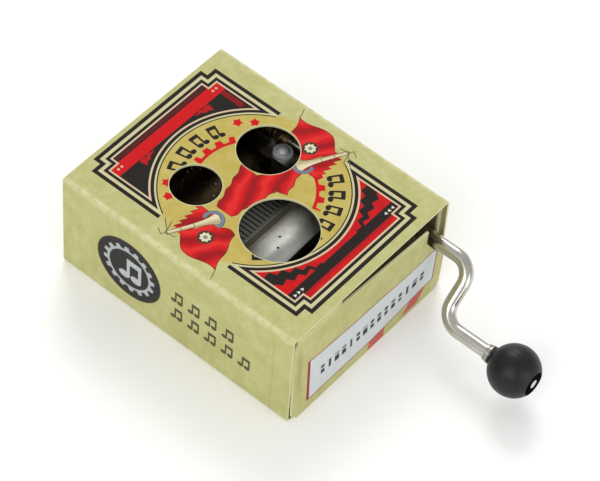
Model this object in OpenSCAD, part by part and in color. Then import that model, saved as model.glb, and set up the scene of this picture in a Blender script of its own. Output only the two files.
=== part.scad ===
// Hand crank music box: a folded card box with three round windows, an 18-note
// comb movement inside it, and a bent wire crank with a turning ball knob.
// Origin: middle of the box's underside. +X runs along the box towards the crank,
// +Y towards the side that the crank shaft lies near, +Z up. Millimetres.

/* [Card box] */
// Length of the box, without the crank
box_l = 60; // [58:0.5:62]
// Width of the box
box_w = 48; // [48:0.5:50]
// Height of the box
box_h = 26; // [26:0.5:28]
// Thickness of the card
card_t = 0.5; // [0.4:0.05:0.6]
// Outside radius of the four long folds
fold_r = 0.8; // [0.7:0.1:1.2]

/* [Windows] */
// Radius of the small window over the pinned cylinder
cylinder_window_r = 5.3; // [4:0.1:5.5]
// Radius of the middle window over the crank bracket
bracket_window_r = 6.5; // [5:0.1:6.7]
// Radius of the large window over the comb
comb_window_r = 8.1; // [6:0.1:8.4]

/* [Crank] */
// Diameter of the crank wire
wire_d = 3; // [2.6:0.1:3.1]
// Distance from the shaft's axis to the handle's axis
crank_throw = 12.65; // [11:0.05:14]
// Direction of the arm about the shaft at rest, in degrees from +Y
arm_angle = -137.6; // [-150:0.2:-100]
// Radius of the two bends, at the wire's centre
bend_r = 4.3; // [3:0.1:5]
// Diameter of the ball knob
knob_d = 11; // [10:0.5:12]

/* [Comb] */
// Number of teeth on the comb
notes = 18; // [12:1:18]
// Distance from one tooth to the next
tooth_pitch = 1.1; // [1:0.05:1.1]
// Width of the cut between two teeth
slot_w = 0.28; // [0.2:0.02:0.4]

/* [Cylinder and gears] */
// Outside radius of the pinned cylinder
cylinder_r = 6.4; // [6:0.1:6.5]
// How far a pin stands out of the cylinder
pin_h = 0.45; // [0.3:0.05:0.5]
// Pins in each note's track
pins_per_note = 5; // [3:1:6]
// Teeth on the worm wheel
wheel_teeth = 20; // [18:1:22]

/* [Hidden] */
$fn = 64;
eps = 0.01;
far = 60;

// Colours
card_colour = [0.85, 0.81, 0.62];
inner_card = [0.45, 0.42, 0.34];
steel = [0.72, 0.72, 0.70];
nickel = [0.80, 0.79, 0.76];
zinc = [0.50, 0.50, 0.49];
brass = [0.62, 0.50, 0.26];
lead = [0.36, 0.36, 0.38];
black_plastic = [0.05, 0.05, 0.055];

// Windows: [x, y, r]
windows = [
    [-9.7, -7.2, cylinder_window_r],
    [-5.1, 9.5, bracket_window_r],
    [10, -4.6, comb_window_r]
];

// Folds of the end flaps. Each flap turns about a line half a card inside its bottom fold.
half_card = card_t / 2;
fold_gap = 0.1;
flap_bulge = 0.5;
flap_x = box_l / 2 + flap_bulge;
tab_fold_z = box_h - card_t - 0.75;
// The flaps lean in so that their tops are flush with the ends of the box
flap_tilt = atan((flap_bulge + half_card) / (tab_fold_z - half_card));
tab_fold_x = flap_x - (tab_fold_z - half_card) * tan(flap_tilt);
tab_gap = 0.45;
flap_top = tab_fold_z - tab_gap;
tab_l = 6;
tab_corner_r = 1.5;
front_flap_w = 46.4;
front_flap_shift = -0.2;
rear_flap_w = 45.6;
fold_inset = 1.6;
fold_chamfer = 1.6;
front_tab_y0 = -20;
front_tab_y1 = -9.5;

// The front flap's loose side leans outwards beyond a gentle slanting bend
bend_y = -15;
bend_z = 25;
bend_slant = -34;
sheet_bend_r = 30;
sheet_lean = 4.4;

// Notch in the front flap that the crank wire passes through: straight down, then
// slanting under the wire, then out to the flap's edge
notch_y = 16.1;
notch_slant_z = 20.3;
notch_low_y = 19.9;
notch_low_z = 14.6;

// Dust flaps, behind the end flaps
dust_x = box_l / 2 - 1.1;
dust_l = 12;
dust_top = tab_fold_z - half_card - 0.35;
dust_bottom = card_t + 0.3;

// Crank shaft and handle
shaft_y = 20.2;
shaft_z = 17.3;
wire_r = wire_d / 2;
shaft_end_x = -24.6;
arm_x = 40.3;
handle_end_x = 63.6;
knob_r = knob_d / 2;
knob_x = 58.8;
knob_recess_x = 61.8;
// The wire is turned down where the washer is riveted on
rivet_x = 61.9;
rivet_r = 0.95;
handle_y = shaft_y + crank_throw * cos(arm_angle);
handle_z = shaft_z + crank_throw * sin(arm_angle);
running = 0.05;

// Cylinder and its arbor
cyl_x = -14.5;
cyl_z = 9.6;
cyl_y0 = -8;
cyl_y1 = 13;
tube_wall = 0.6;
end_t = 1;
arbor_r = 1;
arbor_y0 = -11;
arbor_y1 = 22.7;
pin_r = 0.2;
pin_root = 0.2;

// Worm and wheel. The wheel's pitch circle touches the worm's.
worm_pitch_r = 2.1;
worm_tip_r = 2.5;
worm_core_r = 1.7;
worm_l = 8;
wheel_pitch_r = shaft_z - cyl_z - worm_pitch_r;
wheel_tip_r = wheel_pitch_r + 0.25;
wheel_root_r = wheel_pitch_r - 0.6;
thread_pitch = 2 * PI * wheel_pitch_r / wheel_teeth;
wheel_y0 = 19.3;
wheel_y1 = 21.1;
thread_root_w = 0.8;
thread_tip_w = 0.35;
hub_r = 2.2;

// Comb
comb_mid_y = 2.6;
comb_y0 = comb_mid_y - (notes - 1) / 2 * tooth_pitch;
comb_end = 1.65;
comb_tip_x = -7.85;
comb_root_x = 0.05;
comb_root_slope = -0.045;
comb_bevel_x = 2.7;
comb_back_x = 10.5;
comb_back_slope = -0.03;
comb_seat_z = 11.9;
comb_teeth_z0 = 12.1;
comb_teeth_z1 = 12.9;
comb_top_z = 14.1;
comb_low_y = comb_y0 - comb_end;
comb_high_y = comb_y0 + (notes - 1) * tooth_pitch + comb_end;
weighted_teeth = 7;
comb_screw_x = 5.6;
comb_screw_inset = 2.6;
comb_screw_ys = [comb_low_y + comb_screw_inset, comb_high_y - comb_screw_inset];

// Cast bedplate
bed_x0 = -26.5;
bed_x1 = 13;
bed_y0 = -11.6;
bed_y1 = 22.8;
bed_z0 = card_t;
bed_t = 2;
bed_z1 = bed_z0 + bed_t;
mounting_screw_spots = [[-24, -8.6], [11, 18.6]];
boss_h = 3;
boss_r = 2.3;
screw_r = 1;

// Bracket that holds the crank shaft on both sides of the worm
web_y0 = 16.4;
web_y1 = 17.2;
web_z0 = 13.3;
web_z1 = 18.6;
ear_t = 1.3;
ear_r = 2.7;
outer_ear_x = -22.7;
inner_ear_x = -10;
bracket_tab_t = 1;
bracket_screw_x = -6.05;
bracket_screw_y = 15.75;

// Far bearing of the arbor
far_plate_y0 = 21.8;
far_plate_t = 0.8;
far_foot_l = 4;
far_foot_t = 0.8;
far_feet_x = [-24.2, -4.9];
far_foot_w = 3.4;
far_screw_y = 20.3;

// Outline of the box's sleeve across its length
module rounded_outline(w, h, r) {
    translate([-w / 2 + r, 0]) square([w - 2 * r, h]);
    translate([-w / 2, r]) square([w, h - 2 * r]);
    for (y = [-w / 2 + r, w / 2 - r]) {
        for (z = [r, h - r]) {
            translate([y, z]) circle(r = r);
        }
    }
}

// Extrudes a shape drawn in Y and Z along X, from x0 to x1
module along_x(x0, x1) {
    translate([x0, 0, 0]) rotate([90, 0, 90]) linear_extrude(x1 - x0) children();
}

// Extrudes a shape drawn in X and Z along Y, from y0 to y1
module along_y(y0, y1) {
    translate([0, y1, 0]) rotate([90, 0, 0]) linear_extrude(y1 - y0) children();
}

// A round bar along X
module bar_x(x0, x1, r) {
    translate([x0, 0, 0]) rotate([0, 90, 0]) cylinder(r = r, h = x1 - x0);
}

// A round bar along Y
module bar_y(y0, y1, r) {
    translate([0, y1, 0]) rotate([90, 0, 0]) cylinder(r = r, h = y1 - y0);
}

// The folded sleeve between two values of Y
module sleeve(y0, y1) {
    along_x(-box_l / 2, box_l / 2) {
        intersection() {
            difference() {
                rounded_outline(box_w, box_h, fold_r);
                translate([0, card_t]) {
                    rounded_outline(box_w - 2 * card_t, box_h - 2 * card_t, fold_r - card_t);
                }
            }
            translate([y0, -1]) square([y1 - y0, box_h + 2]);
        }
    }
}

module top_panel() {
    flat_w = box_w - 2 * fold_r;
    color(card_colour)
    difference() {
        translate([-box_l / 2, -flat_w / 2, box_h - card_t]) cube([box_l, flat_w, card_t]);
        for (w = windows) {
            translate([w[0], w[1], box_h - 2 * card_t]) cylinder(r = w[2], h = 3 * card_t);
        }
    }
}

module bottom_panel() {
    flat_w = box_w - 2 * fold_r;
    end_x = flap_x - half_card - fold_gap;
    color(card_colour)
    difference() {
        translate([-end_x, -flat_w / 2, 0]) cube([2 * end_x, flat_w, card_t]);
        for (s = mounting_screw_spots) {
            translate([s[0], s[1], -eps]) {
                cylinder(r1 = screw_r + card_t + 0.7, r2 = screw_r + 0.7, h = card_t + 2 * eps);
            }
        }
    }
}

module near_side_panel() {
    color(card_colour) sleeve(-box_w / 2, -box_w / 2 + fold_r);
}

module far_side_panel() {
    color(card_colour) sleeve(box_w / 2 - fold_r, box_w / 2);
}

// Strip that closes the sleeve, glued up the inside of the far side
module glue_flap() {
    glue_h = 9;
    corner = 4;
    y1 = box_w / 2 - card_t;
    color(inner_card)
    along_y(y1 - 0.4, y1)
    polygon([
        [-box_l / 2 + 2, 1.2], [box_l / 2 - 2, 1.2],
        [box_l / 2 - 2 - corner, glue_h], [-box_l / 2 + 2 + corner, glue_h]
    ]);
}

// A dust flap that reaches from one long side towards the middle, seen along X
module dust_outline(root_y, way, reach) {
    slope = 3;
    polygon([
        [root_y, dust_bottom], [root_y + way * reach, dust_bottom + slope],
        [root_y + way * reach, dust_top - slope], [root_y, dust_top]
    ]);
}

module near_front_dust_flap() {
    root = -box_w / 2 + card_t;
    color(card_colour)
    along_x(dust_x - card_t, dust_x) dust_outline(root, 1, dust_l);
}

module far_front_dust_flap() {
    root = box_w / 2 - card_t;
    cut_y = shaft_y + wire_r + 0.9;
    cut_z = shaft_z - wire_r - 0.5;
    color(card_colour)
    along_x(dust_x - card_t, dust_x)
    difference() {
        dust_outline(root, -1, dust_l);
        translate([cut_y - far, cut_z]) square([far, far]);
    }
}

module near_rear_dust_flap() {
    root = -box_w / 2 + card_t;
    color(card_colour)
    along_x(-dust_x, -dust_x + card_t) dust_outline(root, 1, dust_l);
}

module far_rear_dust_flap() {
    root = box_w / 2 - card_t;
    color(card_colour)
    along_x(-dust_x, -dust_x + card_t) dust_outline(root, -1, dust_l);
}

// Puts a flap, drawn standing on its fold, in its place on the front end
module on_front_fold() {
    translate([flap_x, 0, half_card]) rotate([0, -flap_tilt, 0]) translate([0, 0, -half_card]) children();
}

// Outline of an end flap across the box, as wide as w, up to its top
module flap_outline(w, top) {
    corner = 1;
    polygon([
        [-w / 2 + fold_inset, half_card], [w / 2 - fold_inset, half_card],
        [w / 2, half_card + fold_chamfer], [w / 2, top - corner],
        [w / 2 - corner, top], [-w / 2 + corner, top],
        [-w / 2, top - corner], [-w / 2, half_card + fold_chamfer]
    ]);
}

// The rounded card edge that lies in a flap's bottom fold
module flap_fold(w) {
    translate([0, 0, half_card]) bar_y(-w / 2 + fold_inset, w / 2 - fold_inset, half_card);
}

// Everything below a plane that turns about the bend's axis
module below_bend(turn) {
    translate([sheet_bend_r, 0, 0]) rotate([0, turn, 0]) {
        translate([-2 * sheet_bend_r, -far, -far]) cube([4 * sheet_bend_r, 2 * far, far]);
    }
}

// A flat sheet that bends outwards at a slanting line and runs on flat
module leaning_sheet() {
    translate([0, bend_y, bend_z]) rotate([bend_slant, 0, 0]) {
        translate([-half_card, -far, -far]) cube([card_t, 2 * far, far]);
        difference() {
            intersection() {
                translate([sheet_bend_r, 0, 0]) bar_y(-far, far, sheet_bend_r + half_card);
                below_bend(sheet_lean);
            }
            translate([sheet_bend_r, 0, 0]) bar_y(-far - 1, far + 1, sheet_bend_r - half_card);
            below_bend(0);
        }
        translate([sheet_bend_r, 0, 0]) rotate([0, sheet_lean, 0]) {
            translate([-sheet_bend_r - half_card, -far, 0]) cube([card_t, 2 * far, far]);
        }
    }
}

module front_end_flap() {
    free_top = flap_top - 0.1;
    color(card_colour)
    on_front_fold() {
        intersection() {
            leaning_sheet();
            along_x(-2, 8) {
                difference() {
                    translate([front_flap_shift, 0]) flap_outline(front_flap_w, free_top);
                    polygon([
                        [notch_y, far], [notch_y, notch_slant_z], [notch_low_y, notch_low_z],
                        [far, notch_low_z], [far, far]
                    ]);
                    translate([front_tab_y0 - 4, flap_top]) {
                        square([front_tab_y1 - front_tab_y0 + 4.4, far]);
                    }
                }
            }
        }
        translate([0, front_flap_shift, 0]) flap_fold(front_flap_w);
    }
}

// A tuck tab of the front end, folded in under the top panel
module tuck_tab(y0, y1) {
    r = tab_corner_r;
    inner_x = tab_fold_x - tab_l;
    translate([0, 0, tab_fold_z - half_card]) linear_extrude(card_t) {
        translate([inner_x + r, y0]) square([tab_l - r, y1 - y0]);
        translate([inner_x, y0 + r]) square([r + eps, y1 - y0 - 2 * r]);
        for (y = [y0 + r, y1 - r]) {
            translate([inner_x + r, y]) circle(r = r);
        }
    }
    translate([tab_fold_x, 0, tab_fold_z]) bar_y(y0, y1, half_card);
}

module front_tuck_tab() {
    color(card_colour) tuck_tab(front_tab_y0, front_tab_y1);
}

module rear_end_flap() {
    color(card_colour)
    mirror([1, 0, 0]) on_front_fold() {
        along_x(-half_card, half_card) flap_outline(rear_flap_w, flap_top);
        flap_fold(rear_flap_w);
    }
}

module rear_tuck_tab() {
    side_gap = 1.6;
    color(card_colour)
    mirror([1, 0, 0]) tuck_tab(-rear_flap_w / 2 + side_gap, rear_flap_w / 2 - side_gap);
}

// A lug with a rounded top, drawn in X and Z about the arbor's axis
module arbor_lug(w, foot_w, z0) {
    translate([cyl_x, cyl_z]) circle(r = w / 2);
    polygon([
        [cyl_x - foot_w / 2, z0], [cyl_x + foot_w / 2, z0],
        [cyl_x + w / 2, cyl_z], [cyl_x - w / 2, cyl_z]
    ]);
}

// The two legs and the deck that the comb stands on
module comb_seat() {
    leg_w = 5.4;
    deck_t = 2;
    x0 = comb_bevel_x - 0.9;
    seat_l = comb_back_x - x0 - 0.9;
    translate([x0, comb_low_y, comb_seat_z - deck_t]) {
        cube([seat_l, comb_high_y - comb_low_y, deck_t]);
    }
    for (y = [comb_low_y, comb_high_y - leg_w]) {
        translate([x0, y, bed_z0]) cube([seat_l, leg_w, comb_seat_z - bed_z0]);
    }
}

module bedplate() {
    opening_x0 = cyl_x - 7.6;
    opening_x1 = cyl_x + 7.6;
    lug_y0 = -10.8;
    lug_t = 2.2;
    post_r = 2.3;
    head_r = 2.1;
    head_room = 5.5;
    color(zinc)
    difference() {
        union() {
            difference() {
                translate([bed_x0, bed_y0, bed_z0]) cube([bed_x1 - bed_x0, bed_y1 - bed_y0, bed_t]);
                translate([opening_x0, lug_y0 + lug_t, 0]) {
                    cube([opening_x1 - opening_x0, far_plate_y0 - lug_y0 - lug_t, 5]);
                }
            }
            along_y(lug_y0, lug_y0 + lug_t) arbor_lug(5, 9, bed_z1 - eps);
            comb_seat();
            translate([bracket_screw_x, bracket_screw_y, bed_z0]) {
                cylinder(r = post_r, h = web_z1 - bracket_tab_t - bed_z0);
            }
            for (s = mounting_screw_spots) {
                translate([s[0], s[1], bed_z0]) cylinder(r = boss_r, h = bed_t + boss_h);
            }
        }
        // arbor bearing
        translate([cyl_x, 0, cyl_z]) bar_y(lug_y0 - 1, lug_y0 + lug_t + 1, arbor_r + running);
        // comb screws, from below
        for (y = comb_screw_ys) {
            translate([comb_screw_x, y, 0]) {
                cylinder(r = head_r, h = head_room);
                cylinder(r = screw_r + 0.1, h = comb_seat_z + 1);
            }
        }
        // bracket screw
        translate([bracket_screw_x, bracket_screw_y, web_z1 - bracket_tab_t - 6]) {
            cylinder(r = screw_r, h = 10);
        }
        // mounting screws
        for (s = mounting_screw_spots) {
            translate([s[0], s[1], 0]) cylinder(r = screw_r, h = 4);
        }
        // screws of the far bearing
        for (x = far_feet_x) {
            translate([x, far_screw_y, 0]) cylinder(r = screw_r, h = 5);
        }
    }
}

function tooth_y(i) = comb_y0 + i * tooth_pitch;

function root_x(y) = comb_root_x + comb_root_slope * y;

function back_x(y) = comb_back_x + comb_back_slope * y;

// Comb: a hardened steel plate, thick at the back and thin along its teeth
module comb() {
    color(steel)
    difference() {
        intersection() {
            along_y(comb_low_y, comb_high_y)
            polygon([
                [comb_tip_x, comb_teeth_z0], [comb_bevel_x - 1.6, comb_teeth_z0],
                [comb_bevel_x - 1.6, comb_seat_z], [far, comb_seat_z], [far, comb_top_z],
                [comb_bevel_x, comb_top_z], [comb_bevel_x - 2, comb_teeth_z1],
                [comb_tip_x, comb_teeth_z1]
            ]);
            translate([0, 0, comb_seat_z - 1]) linear_extrude(5)
            polygon([
                [comb_tip_x - 1, comb_low_y], [back_x(comb_low_y), comb_low_y],
                [back_x(comb_high_y), comb_high_y], [comb_tip_x - 1, comb_high_y]
            ]);
        }
        for (i = [1 : notes - 1]) {
            y = tooth_y(i) - tooth_pitch / 2;
            translate([comb_tip_x - 1, y - slot_w / 2, comb_seat_z - 1]) {
                cube([root_x(y) - comb_tip_x + 1, slot_w, 5]);
            }
        }
        // spare metal beyond the first and the last tooth
        for (y = [comb_low_y - 1, tooth_y(notes - 1) + (tooth_pitch - slot_w) / 2]) {
            cut = y < 0 ? tooth_y(0) - (tooth_pitch - slot_w) / 2 - y : comb_end + 1;
            translate([comb_tip_x - 1, y, comb_seat_z - 1]) {
                cube([root_x(y) - comb_tip_x + 1, cut, 5]);
            }
        }
        // threaded blind holes, from below
        for (y = comb_screw_ys) {
            translate([comb_screw_x, y, comb_seat_z - 1]) cylinder(r = screw_r, h = 2.4);
        }
        // the two small centre marks on top
        for (p = [[5.4, 1.7], [7, -0.7]]) {
            translate([p[0], p[1], comb_top_z - 0.3]) cylinder(r = 0.28, h = 1);
        }
    }
}

// Lead weights under the ends of the long bass teeth, each lighter than the last
module comb_weights() {
    weight_x = comb_tip_x + 1.6;
    color(lead)
    for (i = [0 : weighted_teeth - 1]) {
        l = 4 - 0.35 * i;
        h = 1.6 - 0.1 * i;
        w = tooth_pitch - slot_w;
        translate([weight_x, tooth_y(i) - w / 2, comb_teeth_z0 - h]) cube([l, w, h]);
    }
}

// A screw that stands head up, its thread below z = 0
module pan_screw(thread_l, head_r, head_h) {
    slot_depth = 0.5;
    difference() {
        union() {
            cylinder(r = head_r, h = head_h);
            translate([0, 0, -thread_l]) cylinder(r = screw_r, h = thread_l + eps);
        }
        translate([-head_r - 1, -0.25, head_h - slot_depth]) cube([2 * head_r + 2, 0.5, 1]);
    }
}

module comb_screws() {
    seat = 5.5;
    color(steel)
    for (y = comb_screw_ys) {
        translate([comb_screw_x, y, seat]) mirror([0, 0, 1]) {
            pan_screw(comb_seat_z + 1.2 - seat, 1.9, 1.2);
        }
    }
}

// Far bearing: a stamped plate on two feet
module far_bearing() {
    y1 = far_plate_y0 + far_plate_t;
    base_h = 2.6;
    half_w = far_foot_w / 2;
    color(nickel)
    difference() {
        union() {
            along_y(far_plate_y0, y1) {
                arbor_lug(5, 12, bed_z1);
                translate([far_feet_x[0] - half_w, bed_z1]) {
                    square([far_feet_x[1] - far_feet_x[0] + far_foot_w, base_h]);
                }
            }
            for (x = far_feet_x) {
                translate([x - half_w, y1 - far_foot_l, bed_z1]) {
                    cube([far_foot_w, far_foot_l, far_foot_t]);
                }
            }
        }
        translate([cyl_x, 0, cyl_z]) bar_y(far_plate_y0 - 1, y1 + 1, arbor_r + running);
        for (x = far_feet_x) {
            translate([x, far_screw_y, bed_z1 - 1]) cylinder(r = screw_r, h = 3);
        }
    }
}

module bearing_screws() {
    color(steel)
    for (x = far_feet_x) {
        translate([x, far_screw_y, bed_z1 + far_foot_t]) pan_screw(2.2, 1.4, 1);
    }
}

// A bracket's ear: a plate across the shaft, rounded over it
module shaft_ear(x0) {
    along_x(x0, x0 + ear_t) {
        translate([shaft_y, shaft_z]) circle(r = ear_r);
        translate([web_y0, web_z0 + 0.4]) {
            square([shaft_y - web_y0, shaft_z + ear_r - web_z0 - 0.4]);
        }
        translate([web_y0, shaft_z - ear_r]) square([shaft_y - web_y0, 2 * ear_r]);
    }
}

module crank_bracket() {
    web_x1 = inner_ear_x + ear_t;
    tab_x1 = -3.5;
    tab_y0 = 13.5;
    color(nickel)
    difference() {
        union() {
            translate([outer_ear_x, web_y0, web_z0]) {
                cube([web_x1 - outer_ear_x, web_y1 - web_y0, web_z1 - web_z0]);
            }
            shaft_ear(outer_ear_x);
            shaft_ear(inner_ear_x);
            translate([inner_ear_x, tab_y0, web_z1 - bracket_tab_t]) {
                cube([tab_x1 - inner_ear_x, web_y1 - tab_y0, bracket_tab_t]);
            }
        }
        translate([0, shaft_y, shaft_z]) bar_x(outer_ear_x - 1, web_x1 + 1, wire_r + running);
        translate([bracket_screw_x, bracket_screw_y, 0]) cylinder(r = screw_r, h = far);
    }
}

// Screw with a wide round flange under a small domed head
module bracket_screw() {
    flange_r = 2.1;
    flange_t = 0.6;
    dome_r = 1.3;
    color(nickel)
    translate([bracket_screw_x, bracket_screw_y, web_z1]) {
        cylinder(r = flange_r, h = flange_t);
        translate([0, 0, flange_t]) cylinder(r = dome_r, h = 0.5);
        intersection() {
            translate([0, 0, flange_t + 0.5 - 1]) sphere(r = sqrt(dome_r * dome_r + 1));
            translate([0, 0, flange_t + 0.5]) cylinder(r = dome_r, h = 2);
        }
        translate([0, 0, -5]) cylinder(r = screw_r, h = 5 + eps);
    }
}

// Flat-headed screws that draw the card up against the bedplate
module mounting_screws() {
    color(steel)
    for (s = mounting_screw_spots) {
        translate([s[0], s[1], 0]) {
            difference() {
                union() {
                    cylinder(r1 = screw_r + card_t + 0.6, r2 = screw_r + 0.6, h = card_t);
                    cylinder(r = screw_r, h = 3.8);
                }
                for (a = [0, 90]) {
                    rotate([0, 0, a]) translate([-1.2, -0.2, -1]) cube([2.4, 0.4, 1.3]);
                }
            }
        }
    }
}

module on_arbor() {
    translate([cyl_x, 0, cyl_z]) children();
}

module cylinder_tube() {
    color(brass)
    on_arbor() difference() {
        bar_y(cyl_y0, cyl_y1, cylinder_r);
        bar_y(cyl_y0 - 1, cyl_y1 + 1, cylinder_r - tube_wall);
    }
}

// One track of pins for each tooth; the tracks are out of step with each other
module cylinder_pins() {
    golden = 137.508;
    color(steel)
    on_arbor()
    for (i = [0 : notes - 1]) {
        for (k = [0 : pins_per_note - 1]) {
            turn = i * golden + k * 360 / pins_per_note + 17 * ((i * k) % 4);
            translate([0, tooth_y(i), 0]) rotate([0, turn, 0]) {
                translate([0, 0, cylinder_r - pin_root]) cylinder(r = pin_r, h = pin_root + pin_h, $fn = 16);
            }
        }
    }
}

// Discs that centre the tube on its arbor
module cylinder_ends() {
    disc_r = cylinder_r - tube_wall;
    color(brass)
    on_arbor()
    for (y = [cyl_y0 + 0.3, cyl_y1 - 0.3 - end_t]) {
        difference() {
            bar_y(y, y + end_t, disc_r);
            bar_y(y - 1, y + end_t + 1, arbor_r);
        }
    }
}

module cylinder_arbor() {
    color(steel)
    on_arbor() bar_y(arbor_y0, arbor_y1, arbor_r);
}

// Worm wheel, with a hub that reaches back to the cylinder
module worm_wheel() {
    hub_gap = 0.2;
    tooth_turn = 360 / wheel_teeth;
    color(brass)
    on_arbor() difference() {
        union() {
            bar_y(cyl_y1 + hub_gap, wheel_y1, hub_r);
            along_y(wheel_y0, wheel_y1) {
                circle(r = wheel_root_r);
                for (i = [0 : wheel_teeth - 1]) {
                    rotate((i + 0.5) * tooth_turn + 90)
                    polygon([
                        [wheel_root_r - 0.3, -thread_root_w / 2],
                        [wheel_tip_r, -thread_tip_w / 2],
                        [wheel_tip_r, thread_tip_w / 2],
                        [wheel_root_r - 0.3, thread_root_w / 2]
                    ]);
                }
            }
        }
        bar_y(cyl_y1 - 1, wheel_y1 + 1, arbor_r);
    }
}

// Crank: one wire, bent twice at a right angle, from the movement to the knob
module crank_rod() {
    color(nickel)
    translate([0, shaft_y, shaft_z]) rotate([arm_angle, 0, 0]) {
        bar_x(shaft_end_x, arm_x - bend_r, wire_r);
        translate([arm_x - bend_r, bend_r, 0]) rotate([0, 0, -90]) {
            rotate_extrude(angle = 90) translate([bend_r, 0]) circle(r = wire_r);
        }
        translate([arm_x, 0, 0]) bar_y(bend_r, crank_throw - bend_r, wire_r);
        translate([arm_x + bend_r, crank_throw - bend_r, 0]) rotate([0, 0, 90]) {
            rotate_extrude(angle = 90) translate([bend_r, 0]) circle(r = wire_r);
        }
        translate([0, crank_throw, 0]) {
            bar_x(arm_x + bend_r, rivet_x, wire_r);
            bar_x(rivet_x - eps, handle_end_x, rivet_r);
        }
    }
}

// Helical thread of the worm, right-handed, drawn along X. It faces down, towards
// the wheel, at the middle of its length.
thread_steps = 24;
thread_turns = worm_l / thread_pitch - 0.6;
thread_n = round(thread_turns * thread_steps);

function thread_ring(i) =
    let (
        turns = (i - thread_n / 2) / thread_steps,
        a = 360 * turns - 90,
        x = cyl_x + turns * thread_pitch,
        r0 = worm_core_r - 0.1,
        c = cos(a),
        s = sin(a)
    )
    [
        [x - thread_root_w / 2, r0 * c, r0 * s],
        [x + thread_root_w / 2, r0 * c, r0 * s],
        [x + thread_tip_w / 2, worm_tip_r * c, worm_tip_r * s],
        [x - thread_tip_w / 2, worm_tip_r * c, worm_tip_r * s]
    ];

module worm_thread() {
    points = [for (i = [0 : thread_n]) each thread_ring(i)];
    sides = [
        for (i = [0 : thread_n - 1])
            for (k = [0 : 3])
                each [
                    [4 * i + k, 4 * i + 4 + k, 4 * i + (k + 1) % 4],
                    [4 * i + (k + 1) % 4, 4 * i + 4 + k, 4 * i + 4 + (k + 1) % 4]
                ]
    ];
    last = 4 * thread_n;
    ends = [[0, 1, 2, 3], [last + 3, last + 2, last + 1, last]];
    polyhedron(points = points, faces = concat(sides, ends), convexity = 10);
}

module worm() {
    color(brass)
    translate([0, shaft_y, shaft_z]) difference() {
        union() {
            bar_x(cyl_x - worm_l / 2, cyl_x + worm_l / 2, worm_core_r);
            worm_thread();
        }
        bar_x(cyl_x - worm_l, cyl_x + worm_l, wire_r);
    }
}

// A ring on the crank wire
module wire_ring(x0, x1, r, bore_r) {
    difference() {
        bar_x(x0, x1, r);
        bar_x(x0 - 1, x1 + 1, bore_r);
    }
}

// Rings that keep the shaft from sliding through its bracket
module thrust_collars() {
    play = 0.15;
    collar_t = 1.2;
    collar_r = 2.15;
    inner_x = inner_ear_x + ear_t + play;
    outer_x = outer_ear_x - play;
    color(brass)
    translate([0, shaft_y, shaft_z]) {
        wire_ring(inner_x, inner_x + collar_t, collar_r, wire_r);
        wire_ring(outer_x - collar_t, outer_x, collar_r, wire_r);
    }
}

module on_handle() {
    translate([0, handle_y, handle_z]) children();
}

// Two thin rings swaged on the wire behind the knob
module knob_collars() {
    color(nickel)
    on_handle() {
        wire_ring(51.9, 52.3, 1.8, wire_r);
        wire_ring(52.6, 53.0, 1.95, wire_r);
    }
}

// Washer that the wire's end is riveted over, which keeps the knob on the handle
module knob_washer() {
    color(nickel)
    on_handle() wire_ring(rivet_x, rivet_x + 0.35, 2, rivet_r);
}

module knob() {
    neck_x = 53.2;
    neck_r = 1.95;
    recess_r = 2.7;
    color(black_plastic)
    on_handle() difference() {
        union() {
            translate([knob_x, 0, 0]) sphere(r = knob_r);
            bar_x(neck_x, knob_x, neck_r);
        }
        bar_x(neck_x - 1, knob_x + far, wire_r + running);
        bar_x(knob_recess_x, knob_x + far, recess_r);
    }
}

top_panel();
bottom_panel();
near_side_panel();
far_side_panel();
glue_flap();
near_front_dust_flap();
far_front_dust_flap();
near_rear_dust_flap();
far_rear_dust_flap();
front_end_flap();
front_tuck_tab();
rear_end_flap();
rear_tuck_tab();
bedplate();
comb();
comb_weights();
comb_screws();
far_bearing();
bearing_screws();
crank_bracket();
bracket_screw();
mounting_screws();
cylinder_tube();
cylinder_pins();
cylinder_ends();
cylinder_arbor();
worm_wheel();
crank_rod();
worm();
thrust_collars();
knob_collars();
knob_washer();
knob();
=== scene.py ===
# %% [markdown]
# # Hand crank music box
#
# This lesson dresses a imported CAD model of a small card music box: a folded, printed
# card sleeve with three round windows, a steel comb movement inside it, and a bent wire
# crank with a black ball knob. The CAD part already has the right shapes and joints, so
# most of the work here is in the finishes: printed card, raw card edges, steel, nickel,
# brass and satin plastic, plus the thin creases that join one card panel to the next.
#
# The imported model is loaded as a frame. Its parts never move in this file.

# %% Load the frame
import math

import bmesh
import bpy
from mathutils import Matrix, Vector


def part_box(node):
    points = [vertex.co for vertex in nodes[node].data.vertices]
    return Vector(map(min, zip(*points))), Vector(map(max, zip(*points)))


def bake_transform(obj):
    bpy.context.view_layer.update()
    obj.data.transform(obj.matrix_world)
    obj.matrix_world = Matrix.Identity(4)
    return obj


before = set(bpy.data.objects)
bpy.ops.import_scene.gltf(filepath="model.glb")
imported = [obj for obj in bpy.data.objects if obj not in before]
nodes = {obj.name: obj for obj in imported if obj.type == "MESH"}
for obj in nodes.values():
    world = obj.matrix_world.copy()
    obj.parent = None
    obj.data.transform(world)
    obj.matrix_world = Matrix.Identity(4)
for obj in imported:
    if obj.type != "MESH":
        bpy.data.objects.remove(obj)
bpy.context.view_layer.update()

# %% [markdown]
# ## Sizes that the finishes need
#
# Printed artwork is laid out in millimetres on the card, as a printer would do it, so
# the sizes are read from the parts once and turned into millimetres.

# %% Measure the box
MM = 0.001


def box_mm(node):
    """Lowest and highest corners of a part, in millimetres."""
    low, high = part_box(node)
    return low / MM, high / MM


top_low, top_high = box_mm("top_panel")
card_top = top_high.z
card = top_high.z - top_low.z
half_length = top_high.x
half_width = box_mm("far_side_panel")[1].y
print(f"box {2 * half_length:.1f} x {2 * half_width:.1f} x {card_top:.1f} mm, card {card:.2f} mm")

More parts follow.
